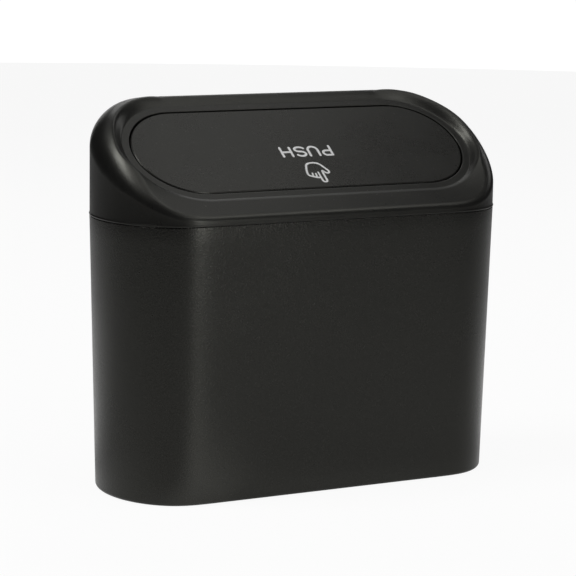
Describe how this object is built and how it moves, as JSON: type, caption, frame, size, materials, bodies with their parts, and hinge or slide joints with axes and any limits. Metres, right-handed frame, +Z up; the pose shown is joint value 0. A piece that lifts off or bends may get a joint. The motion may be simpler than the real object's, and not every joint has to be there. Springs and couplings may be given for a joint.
{
  "type": "car trash bin",
  "caption": "Slim push-to-open bin for a car: a tapered cup with rounded ends, a slanted lid ring, and a flush flap on a sprung hinge that a touch latch holds shut.",
  "frame": {"origin": "middle of the base, on the plane that the bin stands on", "axes": "+X along the bin's length, -Y towards the low front side of the slanted lid, +Z up"},
  "size_m": [0.1854, 0.0758, 0.165],
  "materials": {
    "body_plastic": "fine moulded grain",
    "ring_plastic": "smooth satin",
    "flap_plastic": "smooth satin with a white print",
    "latch_plastic": "smooth",
    "slider_plastic": "smooth",
    "steel": "bright drawn"
  },
  "bodies": {
    "bin": {"bin_body": "body_plastic", "lid_ring": "ring_plastic", "hinge_pin_left": "steel", "hinge_pin_right": "steel", "hinge_spring_left": "steel", "hinge_spring_right": "steel", "latch_housing": "latch_plastic", "latch_cover": "latch_plastic", "latch_spring": "steel", "latch_follower": "steel", "latch_screw_left": "steel", "latch_screw_right": "steel"},
    "flap": {"flap": "flap_plastic", "striker": "latch_plastic", "striker_screw_left": "steel", "striker_screw_right": "steel"},
    "slider": {"latch_slider": "slider_plastic"}
  },
  "joints": [
    {"name": "flap_hinge", "type": "hinge", "parent": "bin", "child": "flap", "pos_m": [0, 0.0254, 0.16012], "axis": [-1, 0, 0], "range_deg": [-1.5, 95]},
    {"name": "latch_press", "type": "slide", "parent": "bin", "child": "slider", "axis": [0, -0.5693, 0.8221], "range_m": [-0.0015, 0], "stiffness_N_per_m": 150, "springref_m": 0.002, "deforming": ["latch_spring"]}
  ]
}
